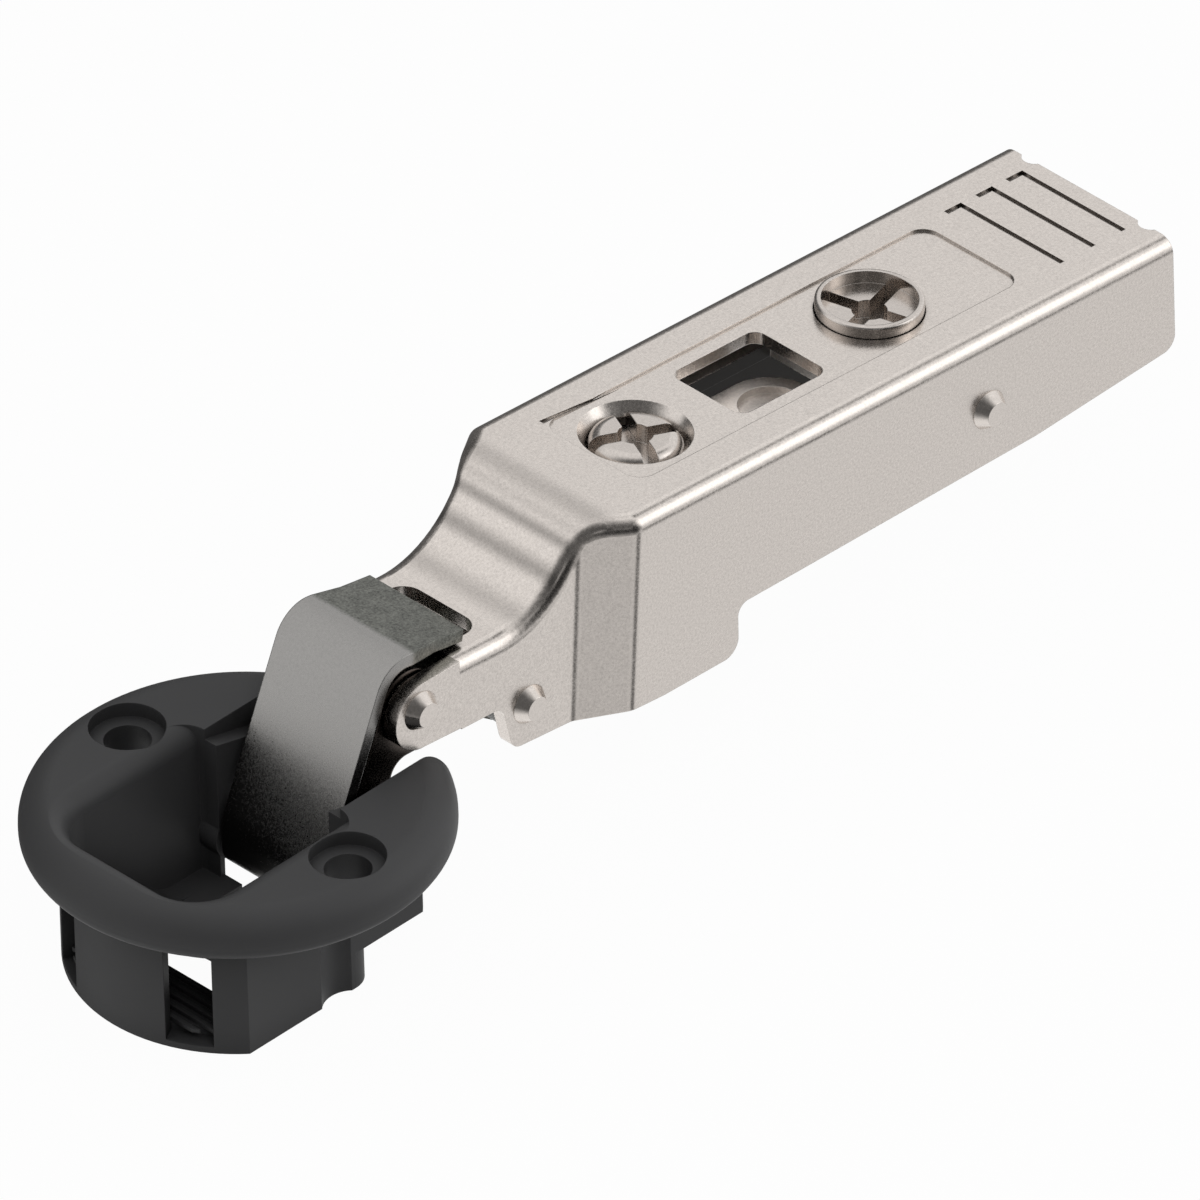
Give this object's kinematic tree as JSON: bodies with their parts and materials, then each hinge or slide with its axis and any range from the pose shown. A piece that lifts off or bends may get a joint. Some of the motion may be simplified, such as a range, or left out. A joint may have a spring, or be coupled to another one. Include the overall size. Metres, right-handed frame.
{
  "type": "concealed cup hinge",
  "caption": "Concealed cabinet hinge for a glass door: round plastic cup, two links and a folded steel arm with side and depth adjustment, shown fully open.",
  "frame": {"origin": "on the cup's axis, in the plane of the flange's underside, midway between the two screw holes", "axes": "+Z out of the door along the cup's axis, +X along the arm at full opening, +Y across the hinge"},
  "size_m": [0.1026, 0.0314, 0.0247],
  "materials": {
    "cup_plastic": "fine matte moulded",
    "arm_nickel": "nickel-plated sheet, fine satin grain",
    "link_steel": "nickel-plated plate, cloudy",
    "dark_steel": "oiled dark steel with bright edges",
    "pin_steel": "polished",
    "screw_nickel": "nickel-plated",
    "carriage_nickel": "nickel-plated",
    "spring_steel": "drawn wire and strip",
    "sleeve_plastic": "natural polymer"
  },
  "bodies": {
    "cup": {"cup": "cup_plastic", "cup_pin_outer": "pin_steel", "cup_pin_inner": "pin_steel"},
    "outer_link": {"outer_link": "link_steel"},
    "inner_link": {"inner_link": "dark_steel"},
    "arm": {"hinge_arm": "arm_nickel", "arm_pin_front": "pin_steel", "arm_pin_rear": "pin_steel", "guide_pin": "pin_steel", "spring_sleeve": "sleeve_plastic", "pin_spacers": "pin_steel", "closing_spring": "spring_steel", "cam_washer": "spring_steel"},
    "side_screw": {"side_screw": "screw_nickel"},
    "depth_cam": {"depth_cam": "screw_nickel"},
    "carriage": {"carriage": "carriage_nickel", "hook_bar": "pin_steel", "lever_pin": "pin_steel", "lever_spring": "spring_steel"},
    "clip_lever": {"clip_lever": "carriage_nickel"}
  },
  "joints": [
    {"name": "outer_link_pivot", "type": "hinge", "parent": "cup", "child": "outer_link", "pos_m": [0.0052, 0, -0.0059], "axis": [0, -1, 0], "range_deg": [0, 72]},
    {"name": "inner_link_pivot", "type": "hinge", "parent": "cup", "child": "inner_link", "pos_m": [0.0086, 0, -0.0036], "axis": [0, -1, 0], "range_deg": [0, 81]},
    {"name": "arm_pivot", "type": "hinge", "parent": "outer_link", "child": "arm", "pos_m": [0.02315, 0, 0.00188], "axis": [0, -1, 0], "range_deg": [0, 22], "deforming": ["closing_spring"]},
    {"name": "side_screw_turn", "type": "hinge", "parent": "arm", "child": "side_screw", "pos_m": [0.0406, 0, 0.01372], "axis": [0.0781, 0, 0.9969], "range_deg": [-540, 540]},
    {"name": "depth_cam_turn", "type": "hinge", "parent": "arm", "child": "depth_cam", "pos_m": [0.0644, 0, 0.01186], "axis": [0.0781, 0, 0.9969], "range_deg": [-60, 60]},
    {"name": "carriage_slide", "type": "slide", "parent": "arm", "child": "carriage", "axis": [0.9969, 0, -0.0781], "range_m": [-0.0025, 0.0025]},
    {"name": "clip_lever_pivot", "type": "hinge", "parent": "carriage", "child": "clip_lever", "pos_m": [0.079, 0, 0.0036], "axis": [0, -1, 0], "range_deg": [0, 12], "stiffness_Nm_per_rad": 0.02, "springref_deg": -8.59, "deforming": ["lever_spring"]}
  ],
  "couplings": [
    {"joint": "arm_pivot", "follows": "outer_link_pivot", "ratio": 0.30556},
    {"joint": "inner_link_pivot", "follows": "outer_link_pivot", "ratio": 1.125},
    {"joint": "depth_cam_turn", "follows": "carriage_slide", "rad_per_m": -418.87}
  ]
}
